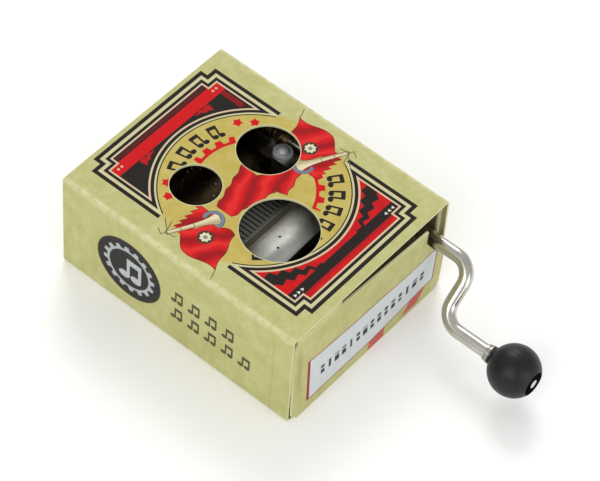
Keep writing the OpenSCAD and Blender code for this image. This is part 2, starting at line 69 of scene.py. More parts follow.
# %% [markdown]
# ## A small language for printed patterns
#
# A shader can do sums at every point of a surface. Writing those sums as separate node
# calls is long and hard to read, so `Amount` wraps one number of the node tree: adding
# or multiplying two amounts makes the Math node and links it. With it, a printed shape
# is written as its distance formula, and `inside` turns a distance into ink coverage
# with a soft edge, as thin as real ink spread.

# %% Amounts and coverage
INK_EDGE = 0.08


class Amount:
    """One number that changes over a surface; arithmetic on it makes shader nodes."""

    def __init__(self, tree, socket):
        self.tree = tree
        self.socket = socket

    def do(self, operation, *others, clamp=False):
        node = self.tree.nodes.new("ShaderNodeMath")
        node.operation = operation
        node.use_clamp = clamp
        for slot, value in zip(node.inputs, (self,) + others):
            if isinstance(value, Amount):
                self.tree.links.new(value.socket, slot)
            else:
                slot.default_value = value
        return Amount(self.tree, node.outputs[0])

    def __add__(self, other):
        return self.do("ADD", other)

    def __sub__(self, other):
        return self.do("SUBTRACT", other)

    def __mul__(self, other):
        return self.do("MULTIPLY", other)

    def __abs__(self):
        return self.do("ABSOLUTE")

    def line(self, slope, start, clamp=False):
        """This amount times slope, plus start; clamp keeps the result from 0 to 1."""
        return self.do("MULTIPLY_ADD", slope, start, clamp=clamp)

    def least(self, other):
        return self.do("MINIMUM", other)

    def most(self, other):
        return self.do("MAXIMUM", other)

    def below(self, value, edge=INK_EDGE):
        """1 where this amount is less than value, 0 where it is more."""
        return self.line(-1 / edge, 0.5 + value / edge, clamp=True)

    def beyond(self, value, edge=INK_EDGE):
        """0 where this amount is less than value, 1 where it is more."""
        return self.line(1 / edge, 0.5 - value / edge, clamp=True)

    def inside(self, edge=INK_EDGE):
        """1 where this distance is below zero, 0 where it is above."""
        return self.below(0, edge)

    def between(self, low, high, edge=INK_EDGE):
        return (abs(self - (low + high) / 2) - (high - low) / 2).inside(edge)

    def without(self, other):
        """This coverage, where the other one leaves room."""
        return self * other.line(-1, 1)


def ink(red, green, blue):
    """A colour from its eight-bit screen values, as the shader wants it."""
    def linear(value):
        share = value / 255
        return share / 12.92 if share <= 0.04045 else ((share + 0.055) / 1.055) ** 2.4
    return (linear(red), linear(green), linear(blue), 1)


print("ink black is", [round(v, 3) for v in ink(40, 35, 31)])

# %% [markdown]
# ## A finish under construction
#
# Each finish is one material. `Finish` keeps its node tree, the surface position in
# millimetres and the colour laid down so far. `paint` lays the next colour over it,
# like a printer's next plate. Object coordinates are the CAD frame, and they travel
# with a part when its joint turns, so the print never slides over the card.
#
# A Mix node has sockets for numbers, vectors and colours in one list. The places of the
# ones that mix colours are named first.

# %% The finish class
CLOUD_ROUGHNESS = 0.55
MIX_COVER = 0
MIX_UNDER = 6
MIX_OVER = 7
MIX_RESULT = 2


class Finish:
    """One material, painted layer by layer."""

    def __init__(self, name, base, roughness=0.5, metallic=0.0):
        self.material = bpy.data.materials.new(name)
        self.material.use_nodes = True
        self.tree = self.material.node_tree
        self.shader = self.tree.nodes["Principled BSDF"]
        self.shader.inputs["Metallic"].default_value = metallic
        self.shader.inputs["Roughness"].default_value = roughness
        self.where = self.tree.nodes.new("ShaderNodeTexCoord")
        self.place = self.vector("SCALE", self.where.outputs["Object"], scale=1 / MM)
        self.flat = self.vector("MULTIPLY", self.place, (1, 1, 0))
        self.x, self.y, self.z = self.split(self.place)
        self.colour = base

    def vector(self, operation, first, second=None, scale=None):
        """A sum on positions; a length or a distance comes back as an amount."""
        node = self.tree.nodes.new("ShaderNodeVectorMath")
        node.operation = operation
        self.feed(node.inputs[0], first)
        if second is not None:
            self.feed(node.inputs[1], second)
        if scale is not None:
            self.feed(node.inputs["Scale"], scale)
        if operation in ("LENGTH", "DISTANCE", "DOT_PRODUCT"):
            return Amount(self.tree, node.outputs["Value"])
        return node.outputs["Vector"]

    def feed(self, slot, value):
        if isinstance(value, Amount):
            value = value.socket
        if isinstance(value, bpy.types.NodeSocket):
            self.tree.links.new(value, slot)
        elif slot.type == "VECTOR":
            slot.default_value = value[:3]
        else:
            slot.default_value = value

    def split(self, place):
        node = self.tree.nodes.new("ShaderNodeSeparateXYZ")
        self.feed(node.inputs[0], place)
        return [Amount(self.tree, out) for out in node.outputs]

    def join(self, x, y):
        """A position on a flat drawing, from its two amounts."""
        node = self.tree.nodes.new("ShaderNodeCombineXYZ")
        for slot, value in zip(node.inputs, (x, y)):
            self.feed(slot, value)
        return node.outputs[0]

    def local(self, place, start, end):
        """Position along and across a line on the card, measured from its start."""
        node = self.tree.nodes.new("ShaderNodeMapping")
        node.vector_type = "TEXTURE"
        self.feed(node.inputs["Vector"], place)
        node.inputs["Location"].default_value = (*start, 0)
        slant = math.atan2(end[1] - start[1], end[0] - start[0])
        node.inputs["Rotation"].default_value = (0, 0, slant)
        return node.outputs[0]

    def distance(self, place, spot):
        """How far a point is from a spot on the card."""
        return self.vector("DISTANCE", place, (*spot, 0))

    def outside_box(self, place, middle, half):
        """Distance out of a box on the card; zero everywhere inside it."""
        shifted = self.vector("SUBTRACT", place, (*middle, 0))
        folded = self.vector("ABSOLUTE", shifted)
        over = self.vector("SUBTRACT", folded, (*half, 0))
        kept = self.vector("MAXIMUM", over, (0, 0, 0))
        return self.vector("LENGTH", kept)

    def patch(self, place, low, high, edge=INK_EDGE):
        """Coverage of a box on the card, given by two corners."""
        middle = [(a + b) / 2 for a, b in zip(low, high)]
        half = [abs(b - a) / 2 for a, b in zip(low, high)]
        return self.outside_box(place, middle, half).line(1, -edge / 2).inside(edge)

    def stroke(self, place, start, end, width):
        """Coverage of a pen line between two points."""
        length = math.dist(start, end)
        along = self.local(place, start, end)
        return (self.outside_box(along, (length / 2, 0), (length / 2, 0)) - width / 2).inside()

    def noise(self, scale, detail, stretch=(1, 1, 1)):
        """Cloudy noise from 0 to 1; scale is in waves per millimetre."""
        node = self.tree.nodes.new("ShaderNodeTexNoise")
        self.feed(node.inputs["Vector"], self.vector("MULTIPLY", self.place, stretch))
        node.inputs["Scale"].default_value = scale
        node.inputs["Detail"].default_value = detail
        node.inputs["Roughness"].default_value = CLOUD_ROUGHNESS
        return Amount(self.tree, node.outputs["Fac"])

    def paint(self, colour, cover):
        """Lays a colour over the colour so far, where cover is above 0."""
        node = self.tree.nodes.new("ShaderNodeMix")
        node.data_type = "RGBA"
        node.clamp_factor = True
        self.feed(node.inputs[MIX_COVER], cover)
        self.feed(node.inputs[MIX_UNDER], self.colour)
        self.feed(node.inputs[MIX_OVER], colour)
        self.colour = node.outputs[MIX_RESULT]

    def shade(self, amount):
        """Multiplies the colour so far by an amount near 1."""
        self.colour = self.vector("SCALE", self.colour, scale=amount)

    def relief(self, height, depth_mm, below=None):
        """Bumps the surface by a height that runs from 0 to 1."""
        node = self.tree.nodes.new("ShaderNodeBump")
        node.inputs["Strength"].default_value = 1
        node.inputs["Distance"].default_value = depth_mm * MM
        self.feed(node.inputs["Height"], height)
        if below is not None:
            self.feed(node.inputs["Normal"], below)
        return node.outputs[0]

    def done(self, normal=None, roughness=None):
        """Links what was made to the shader, and hands the material over."""
        self.feed(self.shader.inputs["Base Color"], self.colour)
        if normal is not None:
            self.feed(self.shader.inputs["Normal"], normal)
        if roughness is not None:
            self.feed(self.shader.inputs["Roughness"], roughness)
        return self.material


def dress(material, *parts):
    """Puts a finish in the material slots of one or more CAD parts."""
    for part in parts:
        for slot in nodes[part].material_slots:
            slot.material = material


print("finishes will go on", len(nodes), "parts")

# %% [markdown]
# ## Camera and light
#
# A small object like this is lit in a white tent: bright from every side. Three large
# soft lights add direction. One is above the back, so that metal inside the windows
# catches it, one is in front, and a weaker one is at the crank's end. The camera looks
# down on one corner of the box from far away with a long lens.

# %% Camera, floor and lights
VIEW_AROUND = math.radians(36.28)
VIEW_DOWN = math.radians(51.33)
VIEW_ROLL = math.radians(5.07)
CAMERA_SPOT = (0.2241, -0.2893, 0.4683)
LENS_LENGTH = 173.8
TENT_STRENGTH = 0.66
LIGHT_AIM = Vector((0, 0, 0.02))
FLOOR_SIZE = 6

scene = bpy.context.scene
scene.view_settings.view_transform = "Standard"
camera_data = bpy.data.cameras.new("camera")
camera_data.lens = LENS_LENGTH
camera_data.sensor_width = 36
camera_data.clip_start = 0.01
camera = bpy.data.objects.new("camera", camera_data)
scene.collection.objects.link(camera)
aim = Matrix.Rotation(VIEW_AROUND, 4, "Z") @ Matrix.Rotation(math.pi / 2 - VIEW_DOWN, 4, "X")
aim = aim @ Matrix.Rotation(VIEW_ROLL, 4, "Z")
camera.matrix_world = Matrix.Translation(CAMERA_SPOT) @ aim
scene.camera = camera

world = bpy.data.worlds.new("tent")
world.use_nodes = True
tent = world.node_tree.nodes["Background"]
tent.inputs["Color"].default_value = (1, 1, 1, 1)
tent.inputs["Strength"].default_value = TENT_STRENGTH
scene.world = world


def softbox(name, spot, size, watts):
    """A square area light that faces the box."""
    data = bpy.data.lights.new(name, "AREA")
    data.size = size
    data.energy = watts
    lamp = bpy.data.objects.new(name, data)
    scene.collection.objects.link(lamp)
    lamp.location = spot
    lamp.rotation_euler = (LIGHT_AIM - Vector(spot)).to_track_quat("-Z", "Y").to_euler()


softbox("back_softbox", (-0.45, 0.55, 0.75), size=0.5, watts=4.2)
softbox("front_softbox", (0.15, -0.75, 0.55), size=0.6, watts=3.0)
softbox("side_softbox", (0.8, -0.05, 0.28), size=0.5, watts=1.5)

bpy.ops.mesh.primitive_plane_add(size=FLOOR_SIZE, location=(0, 0, 0))
floor = bpy.context.object
floor.name = "floor"
print("camera is", round(camera.location.length, 3), "m from the box")

# %% [markdown]
# ## The floor
#
# The floor is a sweep of matt white paper. It is only slightly uneven, so that it does
# not look like an empty page, and it is bright enough to vanish behind the box.

# %% Floor finish
floor_finish = Finish("floor_paper", ink(252, 252, 251), roughness=0.9)
floor_finish.shade(floor_finish.noise(0.02, 2).line(0.02, 0.99))
floor.data.materials.append(floor_finish.done())
print("floor is", FLOOR_SIZE, "m across")

# %% [markdown]
# ## Printed card
#
# The box is one blank of thin board. Its outside is printed to look like old olive
# paper: cloudy, with short upright fibres and a few darker stains. Where a knife has
# cut it, the pale core of the board shows, and its inside is plain grey board. Folding
# cracks the print a little, so the folds are lighter than the faces.
#
# The three looks share one mesh, so the finish tells them apart by the direction that
# each face points in, measured in the part's own frame.

# %% Card board: outside, cut edge and inside
PAPER = ink(184, 183, 124)
PAPER_DARK = ink(170, 164, 104)
PAPER_LIGHT = ink(198, 196, 145)
CARD_CORE = ink(206, 202, 158)
BOARD_GREY = ink(158, 148, 106)
WORN = ink(212, 210, 166)
STAIN = ink(146, 132, 80)
GRAIN_DEPTH = 0.012
WARP_DEPTH = 0.35
PRESS_DEPTH = 0.08


def card_finish(name):
    """Printed olive paper, before any artwork."""
    finish = Finish(name, PAPER, roughness=0.58)
    finish.shader.inputs["Specular IOR Level"].default_value = 0.1
    clouds = finish.noise(0.16, 4)
    finish.paint(PAPER_DARK, clouds.beyond(0.5, 0.55) * 0.65)
    finish.paint(PAPER_LIGHT, finish.noise(0.35, 3).beyond(0.56, 0.3) * 0.5)
    streaks = finish.noise(0.9, 3, (1, 1, 0.18))
    finish.paint(PAPER_DARK, streaks.beyond(0.6, 0.3) * 0.35)
    finish.paint(STAIN, finish.noise(1.6, 2).beyond(0.72, 0.05) * 0.45)
    return finish


def card_edges(finish, outward, sleeve=False):
    """Adds the grey inside and the pale cut edges; outward is the outside's direction.
    On the sleeve's sides the cut edges face along the box, elsewhere across outward."""
    normal = finish.where.outputs["Normal"]
    facing = finish.vector("DOT_PRODUCT", normal, outward)
    finish.paint(BOARD_GREY, facing.inside(0.2))
    if sleeve:
        across = finish.vector("DOT_PRODUCT", normal, (1, 0, 0))
        finish.paint(CARD_CORE, abs(across).beyond(0.5, 0.2))
    else:
        finish.paint(CARD_CORE, abs(facing).below(0.5, 0.2))


def card_relief(finish, pressed=None):
    """The board's faint grain and slow warp, and what was pressed into it, as bump."""
    normal = finish.relief(finish.noise(6, 3), GRAIN_DEPTH)
    normal = finish.relief(finish.noise(0.12, 1), WARP_DEPTH, normal)
    return normal if pressed is None else finish.relief(pressed, PRESS_DEPTH, normal)


def outward_from_axis(finish):
    """Direction away from the sleeve's long axis, which its outside faces."""
    from_middle = finish.vector("SUBTRACT", finish.place, (0, 0, card_top / 2))
    return finish.vector("MULTIPLY", from_middle, (0, 1, 1))


print("card grain is", GRAIN_DEPTH, "mm deep")

# %% [markdown]
# ## Artwork on top: frames and panels
#
# The top is printed in an art deco poster style. A stepped double frame closes each
# end, and a large ring cuts into both. All of its lines are steps of one distance: how
# far a point is inside the stepped outline, or outside the ring, whichever is less. One
# colour ramp over that distance gives black, cream, black, a fine rose line and black
# again, mitred at every corner with no further work.

# %% Printing inks and the frame's layout
BLACK_INK = ink(30, 25, 22)
CREAM_INK = ink(196, 190, 146)
ROSE_INK = ink(206, 184, 150)
RED_INK = ink(194, 12, 18)
DARK_RED_INK = ink(130, 10, 18)
MAROON_INK = ink(84, 20, 24)
TAN_INK = ink(180, 162, 80)
TAN_LIGHT = ink(194, 179, 106)

art_x = -0.5
frame_reach = 28.5
frame_width = 18.65
frame_step = (1.8, 2.5)
frame_opening = 9.0
LINE_DEPTHS = (0.9, 1.65, 2.35, 2.75)
LINE_EDGE = 0.04
RAMP_SPAN = 3.0
ring_lines = (19.25, 19.5, 19.9)
ring_growth = 0.95


def frame_depth(finish, across, radius):
    """How deep a point lies in the stepped frame, cut by the ring."""
    width = abs(finish.y)
    wide = (across - frame_reach).most(width - (frame_width - frame_step[1]))
    tall = (across - (frame_reach - frame_step[0])).most(width - frame_width)
    depth = wide.least(tall).line(-1, 0)
    first = LINE_DEPTHS[0] / (ring_lines[1] - ring_lines[0])
    second = (LINE_DEPTHS[1] - LINE_DEPTHS[0]) / (ring_lines[2] - ring_lines[1])
    ring = radius.line(first, -first * ring_lines[0])
    ring = ring.least(radius.line(second, LINE_DEPTHS[0] - second * ring_lines[1]))
    ring = ring.least(radius.line(ring_growth, LINE_DEPTHS[1] - ring_growth * ring_lines[2]))
    return depth.least(ring)


def frame_lines(finish, depth, across):
    """Paints the lines of both frames; frame_opening keeps them apart at the long sides."""
    ramp = finish.tree.nodes.new("ShaderNodeValToRGB")
    bands = ramp.color_ramp.elements
    inks = (BLACK_INK, CREAM_INK, BLACK_INK, ROSE_INK, BLACK_INK)
    bands[0].color = inks[0]
    bands[1].position = (LINE_DEPTHS[0] - LINE_EDGE) / RAMP_SPAN
    bands[1].color = inks[0]
    for i, edge in enumerate(LINE_DEPTHS):
        if i > 0:
            bands.new((edge - LINE_EDGE) / RAMP_SPAN).color = inks[i]
        bands.new((edge + LINE_EDGE) / RAMP_SPAN).color = inks[i + 1]
    finish.feed(ramp.inputs[0], depth * (1 / RAMP_SPAN))
    finish.paint(ramp.outputs[0], depth.beyond(0) * across.beyond(frame_opening))


print("frame lines at depths", LINE_DEPTHS)

# %% [markdown]
# Each panel inside a frame has an upright bar with small marks at its ends. The crank
# end is red with a black bar and jagged black flashes; the other end is black with a red
# bar and a few red flames. Folding the pattern about the middle line draws both ends of
# each panel at once.

# %% Panels
ARROW_INK = ink(222, 214, 206)
crank_bar = (21.6, 23.8)
far_bar = (-24.85, -22.15)
arrow_start = 12.15
arrow_pitch = 1.05


def crank_end_panel(finish, field):
    """Red field, black flashes and a black bar with three arrow heads at each end."""
    width = abs(finish.y)
    folded = finish.join(finish.x, width)
    right = finish.x.beyond(0)
    finish.paint(RED_INK, field * right)
    finish.paint(DARK_RED_INK, field * right * finish.noise(0.5, 2).beyond(0.55, 0.3) * 0.35)
    along, across, _ = finish.split(finish.local(folded, (16.6, 16.2), (21.4, 6.6)))
    jag = along.do("PINGPONG", 1.3)
    reach = along.line(-0.13, 1.75)
    flash = (abs(across + jag * 0.75 - 0.45) - reach).inside(0.15)
    finish.paint(BLACK_INK, field * right * flash * along.beyond(-1.5))
    finish.paint(BLACK_INK, field * finish.x.between(*crank_bar))
    finish.paint(DARK_RED_INK, field * finish.x.between(crank_bar[1], crank_bar[1] + 0.5, 0.5) * 0.5)
    rank = (width - arrow_start) * (1 / arrow_pitch)
    slope = rank.do("FRACT")
    head = (abs(finish.x - 22.75) - slope.line(0.62, -0.14)).inside(0.12)
    head = head * rank.beyond(0, 0.1) * rank.below(3, 0.1) * slope.between(0.2, 0.86, 0.1)
    finish.paint(ARROW_INK, head)


def far_end_panel(finish, field):
    """Black field, a red bar with two dots at each end, and red flames beside it."""
    left = field * finish.x.below(0)
    width = abs(finish.y)
    folded = finish.join(finish.x, width)
    finish.paint(BLACK_INK, left)
    finish.paint(MAROON_INK, left * finish.x.between(-26.0, -25.15) * width.below(14, 8))
    strip = finish.patch(finish.flat, (-22.0, 14.35), (-16.6, 15.25), 0.3)
    finish.paint(DARK_RED_INK, left * strip)
    along, across, _ = finish.split(finish.local(folded, (-20.9, 10.2), (-21.8, 5.6)))
    tongue = (abs(across + along.do("PINGPONG", 0.9) * 0.4) - along.line(-0.22, 0.95)).inside(0.2)
    finish.paint(RED_INK, left * tongue * along.beyond(0, 0.4) * 0.75)
    finish.paint(RED_INK, left * finish.x.between(*far_bar, 0.15))
    dots = finish.join(finish.x + 23.55, abs(width - 14.2) - 0.5)
    finish.paint(CREAM_INK, left * finish.vector("LENGTH", dots).below(0.27, 0.15))


print(f"panel bars {crank_bar[1] - crank_bar[0]:.2f} and {far_bar[1] - far_bar[0]:.2f} mm wide")

# %% [markdown]
# ## Artwork on top: the ring and what lies in it
#
# Inside the ring the ground is ochre. A toothed wheel, pairs of notes and stars stand on
# it in places: plain stock ornament that says "music machine" and nothing more. Notes
# are drawn once and repeated by taking the remainder of the distance along a line; round
# the ring, that distance is the angle.

# %% Repeating ornament
wheel_teeth = 27
wheel_root = 12.9
wheel_hole = 12.2
tooth_height = 1.15


def note_pairs(finish, along, up, size, spacing=3.1):
    """Coverage of beamed note pairs on a line; heads sit near up = -size."""
    head_up = -0.95 * size
    pitch = spacing * size
    step = 1.25 * size
    spot = (along * (1 / pitch)).do("FRACT").line(pitch, -pitch / 2)
    pair = finish.join(spot + step / 2, up)
    heads = None
    for k in range(2):
        near = finish.vector("SUBTRACT", pair, (k * step, head_up, 0))
        near = finish.vector("MULTIPLY", near, (1, 1.35, 0))
        head = finish.vector("LENGTH", near) - 0.58 * size
        heads = head if heads is None else heads.least(head)
    cover = heads.inside()
    stem = 0.42 * size
    thick = 0.15 * size
    for k in range(2):
        low = (k * step + stem - thick, head_up)
        cover = cover.most(finish.patch(pair, low, (k * step + stem + thick, 1.2 * size)))
    beam = finish.patch(pair, (stem - thick, 0.62 * size), (step + stem + thick, 1.25 * size))
    return cover.most(beam)


def star(finish, spot, reach, turn):
    """Coverage of a five-pointed star."""
    dx = finish.x - spot[0]
    dy = abs(finish.y) - spot[1]
    angle = dy.do("ARCTAN2", dx) + (turn + 4 * math.pi)
    fold = angle.do("PINGPONG", math.pi / 5)
    radius = finish.distance(finish.join(dx, dy), (0, 0))
    tip = (radius * fold.do("COSINE")).line(0.75, -0.75 * reach) + radius * fold.do("SINE") * 0.95
    return tip.inside(0.12)


def toothed_wheel(angle):
    """Outer edge of the wheel at each angle, as a distance from its middle."""
    wave = (angle * wheel_teeth).do("SINE").line(1.6, 0.5, clamp=True)
    return wave.line(tooth_height, wheel_root)


def sector(angle, low, high):
    """Coverage between two directions, in degrees from +X."""
    return angle.between(math.radians(low), math.radians(high), 0.02)


print("the wheel has", wheel_teeth, "teeth")

# %% [markdown]
# Red cloth swirls through the middle, and a banner with a horn stands at each long side.
# The two banners are the same drawing turned by half a turn about the middle, so the
# surface position is turned with them: on the near side of the middle, the position is
# reversed, and the drawing is written only once. Dark streaks along the cloth stand for
# its folds.

# %% Cloth, banners and horns
HORN_INK = ink(216, 204, 164)
HORN_SHADE = ink(160, 146, 108)
SASH_INK = ink(112, 124, 138)
LINE_INK = ink(72, 62, 42)
LIGHT_RED_INK = ink(222, 50, 44)
ROSETTE_INK = ink(58, 52, 44)
SASH_SHADE = ink(70, 82, 98)
TWIG_INK = ink(84, 76, 44)
half_turn_middle = (0.7, -0.2)


def cloth_folds(finish, cover, lean):
    """Red cloth with fold shading, where cover is set."""
    finish.paint(RED_INK, cover)
    warp = finish.noise(0.22, 2) * 5
    wave = (finish.x * lean[0] + finish.y * lean[1] + warp).do("SINE")
    finish.paint(DARK_RED_INK, cover * wave.beyond(0.45, 0.9) * 0.75)
    finish.paint(LIGHT_RED_INK, cover * wave.below(-0.62, 0.5) * 0.55)


def middle_cloth(finish):
    """The swirl through the middle: a wide lower part and a folded-over upper part."""
    y = finish.y
    ripple = (y * 1.9).do("SINE") * 0.18
    low = (y.line(-0.28, -5.5) - finish.x).most(finish.x - y.line(0.2, 2.7))
    low = low.most(y - 2.4 + finish.x * 0.12).most(y.line(-1, -8.7)) + ripple
    high = (y.line(0.53, -3.8) - finish.x).most(finish.x - y.line(-0.27, 6.2))
    high = high.most(y - 9.1).most(y.line(-1, 1.4) + finish.x * 0.33) + ripple
    edge = low.least(high)
    cloth_folds(finish, edge.inside(0.15), (1.35, 0.5))
    finish.paint(MAROON_INK, edge.between(-0.2, 0.02) * 0.6)


def banners(finish):
    """A waving banner with a ragged tail at both long sides; returns the turned position."""
    sign = (finish.y - half_turn_middle[1]).do("SIGN")
    turned = finish.vector("SUBTRACT", finish.flat, (*half_turn_middle, 0))
    turned = finish.vector("SCALE", turned, scale=sign)
    x, y, _ = finish.split(turned)
    fall = x.line(0.2, -0.3, clamp=True)
    fall = fall * fall * fall.line(-2, 3)
    crest = (x * 0.62 + 1.6).do("SINE").line(0.55, 20.9) - fall * 3.2
    dip = x + 2.3
    hem = (dip * dip).line(0.25, 10.9).least(x.line(2.0, 9.2).most(x.line(0, 12.2)))
    side = y.line(-0.3, -0.36) + (y * 1.1).do("SINE") * 0.22
    edge = (y - crest).most(hem - y).most(side - x).most(x - 7.0)
    scallop = (y * 0.62).do("FRACT").line(0.9, 5.9)
    tail = (y - 18.4).most(y.line(-1, 10.3)).most(x - scallop).most(y.line(0.2, 0.2) - x)
    edge = edge.least(tail)
    cover = edge.inside(0.12)
    cloth_folds(finish, cover, (-1.1, 0.8))
    finish.paint(MAROON_INK, edge.between(-0.2, 0.02) * 0.6)
    return turned, x, y


def horns(finish, turned, x, y):
    """The horn lies over the banner, with its sash, a rosette and a sprig."""
    rose = finish.distance(turned, (0.2, 15.7))
    finish.paint(ROSETTE_INK, rose.below(1.65, 0.15))
    petals = ((x - 0.2).do("ARCTAN2", y - 15.7) * 8).do("SINE") * 0.14
    finish.paint(HORN_INK, (rose + petals - 1.1).inside(0.12))
    finish.paint(SASH_INK, rose.below(0.45, 0.15))
    along, across, _ = finish.split(finish.local(turned, (1.2, 10.2), (6.6, 20.2)))
    bell = along.line(-0.52, 0).do("EXPONENT").line(1.5, 0.36)
    wall = abs(across) - bell
    horn = wall.most(along.line(-1, 0)).most(along - 11.2)
    finish.paint(LINE_INK, (horn - 0.14).inside())
    finish.paint(HORN_INK, horn.inside())
    finish.paint(HORN_SHADE, horn.inside() * (across * 0.9).beyond(0.1, 0.8) * 0.8)
    bands = (along - 5.4).do("PINGPONG", 1.4).below(0.1, 0.1) * along.beyond(4.6)
    finish.paint(LINE_INK, horn.inside() * bands * 0.7)
    sash = finish.distance(turned, (1.9, 11.4))
    loop = (abs(sash - 1.95) - 0.42).inside() * y.below(12.2, 0.4)
    finish.paint(SASH_INK, loop)
    finish.paint(SASH_SHADE, loop * (sash * 9).do("SINE").beyond(0.3, 0.5) * 0.5)


def sprigs(finish, turned):
    """A twig at the horn's end, and the banner's pole."""
    root = (6.7, 20.1)
    knee = (7.2, 21.0)
    pole = ((-6.5, 20.3), (-7.4, 22.9))
    lines = [(root, knee), (knee, (8.5, 20.2)), (root, (4.6, 19.7)),
             (root, (7.6, 17.2)), ((7.1, 19.3), (9.2, 17.4)), pole]
    cover = None
    for start, end in lines:
        line = finish.stroke(turned, start, end, 0.2)
        cover = line if cover is None else cover.most(line)
    finish.paint(TWIG_INK, cover * 0.9)


print("the banners turn about", half_turn_middle, "mm")

# %% [markdown]
# The whole top is painted in the order in which the drawing overlaps: ground, wheel,
# notes, stars, cloth, banners, horns, frames, panels and sprigs. The pressed rims of the
# windows and the card's worn folds come last, because wear takes ink away.

# %% Top finish
window_spots = [(-9.7, -7.2, 5.3), (-5.1, 9.5, 6.5), (10.0, -4.6, 8.1)]
ground_radius = 19.6
note_radius = 16.45
note_path = 16.4
note_size = 1.3
note_band = (14.6, 18.6)
star_reach = 1.15


def top_artwork(finish):
    radius = finish.distance(finish.flat, (art_x, 0))
    angle = finish.y.do("ARCTAN2", finish.x - art_x)
    ground = radius.below(ground_radius, 0.7)
    finish.paint(TAN_INK, ground)
    finish.paint(TAN_LIGHT, ground * finish.noise(0.3, 3).beyond(0.52, 0.3) * 0.6)
    back_arc = abs(angle).beyond(math.radians(148), 0.02) * finish.y.beyond(-2.7)
    arcs = sector(angle, 18, 62).most(back_arc)
    finish.paint(RED_INK, (radius - toothed_wheel(angle)).inside(0.12) * radius.beyond(wheel_hole) * arcs)
    side = (finish.x - art_x).do("SIGN")
    seen = (finish.y * side).do("ARCTAN2", (finish.x - art_x) * side)
    notes = note_pairs(finish, seen * note_path, radius - note_radius, note_size)
    arcs = sector(seen, -56.3, 56.3) * finish.x.beyond(art_x)
    arcs = arcs.most(sector(seen, -28.2, 28.2) * finish.x.below(art_x))
    finish.paint(BLACK_INK, notes * arcs * radius.between(*note_band))
    first_star = star(finish, (-11.75, 13.1), star_reach, 0.2)
    second_star = star(finish, (-14.3, 10.7), star_reach, 0.6)
    finish.paint(RED_INK, first_star.most(second_star))
    middle_cloth(finish)
    turned, x, y = banners(finish)
    horns(finish, turned, x, y)
    across = abs(finish.x - art_x)
    depth = frame_depth(finish, across, radius)
    frame_lines(finish, depth, across)
    field = depth.beyond(LINE_DEPTHS[-1])
    crank_end_panel(finish, field)
    far_end_panel(finish, field)
    sprigs(finish, turned)
    finish.shade(finish.noise(1.1, 3).line(0.16, 0.92))


def window_rims(finish):
    """Distance from the nearest window's edge."""
    nearest = None
    for x, y, r in window_spots:
        gap = finish.distance(finish.flat, (x, y)) - r
        nearest = gap if nearest is None else nearest.least(gap)
    return nearest


def make_top():
    finish = card_finish("printed_top")
    top_artwork(finish)
    rims = window_rims(finish)
    finish.paint(WORN, rims.between(-0.1, 0.16, 0.1) * 0.8)
    near_fold = abs(finish.y).beyond(half_width - 0.8, 1.6)
    finish.paint(WORN, near_fold * finish.noise(0.7, 3).beyond(0.42, 0.4) * 0.6)
    card_edges(finish, (0, 0, 1))
    return finish.done(card_relief(finish, rims.beyond(0.1, 0.3)))


dress(make_top(), "top_panel")
print("top finished")

# %% [markdown]
# ## Printed sides
#
# The near long side carries a dark round badge and two rows of small print beside it.
# The badge here shows a beamed pair of notes inside a toothed ring, and the rows are
# rows of notes, so that the side keeps its weight of ink but names nobody.

# %% Near side and far side
BADGE_INK = ink(52, 50, 48)
BADGE_LIGHT = ink(178, 182, 184)
PRINT_GREY = ink(66, 62, 44)
BADGE_DARK = ink(40, 38, 37)
badge_radius = 8.15
badge_teeth = 16
badge_ring = (5.05, 5.6)


def badge(finish, middle):
    """A dark round badge with a note pair in a toothed ring."""
    face = finish.join((finish.x - middle[0]) * (8.2 / 8.5), finish.z - middle[1])
    radius = finish.distance(face, (0, 0))
    disc = radius.below(badge_radius, 0.25)
    finish.paint(BADGE_INK, disc)
    finish.paint(BADGE_DARK, disc * finish.noise(1.5, 2).beyond(0.5, 0.3) * 0.5)
    u, v, _ = finish.split(face)
    angle = v.do("ARCTAN2", u)
    teeth = (angle * badge_teeth).do("SINE").line(1.4, 0.5, clamp=True)
    ring = (radius - badge_ring[1] - teeth * 0.9).inside(0.2) * radius.beyond(badge_ring[0], 0.2)
    finish.paint(BADGE_LIGHT, ring * 0.9)
    pair = note_pairs(finish, u + 3.35, v, 2.35) * u.between(-3.6, 3.6)
    finish.paint(BADGE_LIGHT, pair)


def print_rows(finish):
    """Two rows of small printed notes."""
    for low, last in ((14.3, 16.1), (9.2, 20.5)):
        notes = note_pairs(finish, finish.x + 1.6, finish.z - low, 1.3, 3.4)
        finish.paint(PRINT_GREY, notes * finish.x.between(-1.7, last) * 0.92)


def fold_wear(finish):
    """The print has cracked to a paler tone along the long folds."""
    top = abs(finish.z - card_top) - 0.9
    low = abs(finish.z) - 0.5
    wear = finish.noise(0.7, 3).beyond(0.4, 0.4)
    finish.paint(WORN, top.inside(1.4) * wear * 0.75)
    finish.paint(WORN, low.inside(0.8) * wear * 0.5)


def make_side(name, printed):
    finish = card_finish(name)
    pressed = abs(finish.x - (half_length - 4.6))
    if printed:
        badge(finish, (-12.1, 12.4))
        print_rows(finish)
        # Painted shade in the pressed line near the crank end.
        line = pressed.below(0.12, 0.2)
        finish.paint(PAPER_DARK, line * finish.noise(0.4, 2).beyond(0.45, 0.3) * 0.5)
    fold_wear(finish)
    card_edges(finish, outward_from_axis(finish), sleeve=True)
    return finish.done(card_relief(finish, pressed.beyond(0.1, 0.3) if printed else None))


dress(make_side("printed_near_side", True), "near_side_panel")
dress(make_side("printed_far_side", False), "far_side_panel")
print("sides finished")

# %% [markdown]
# ## Underside, flaps and glue strip
#
# The underside and the rear flap are plain printed paper. The dust flaps, tuck tabs and
# glue strip are the board's back or its unprinted part, so they are grey inside and pale
# outside.

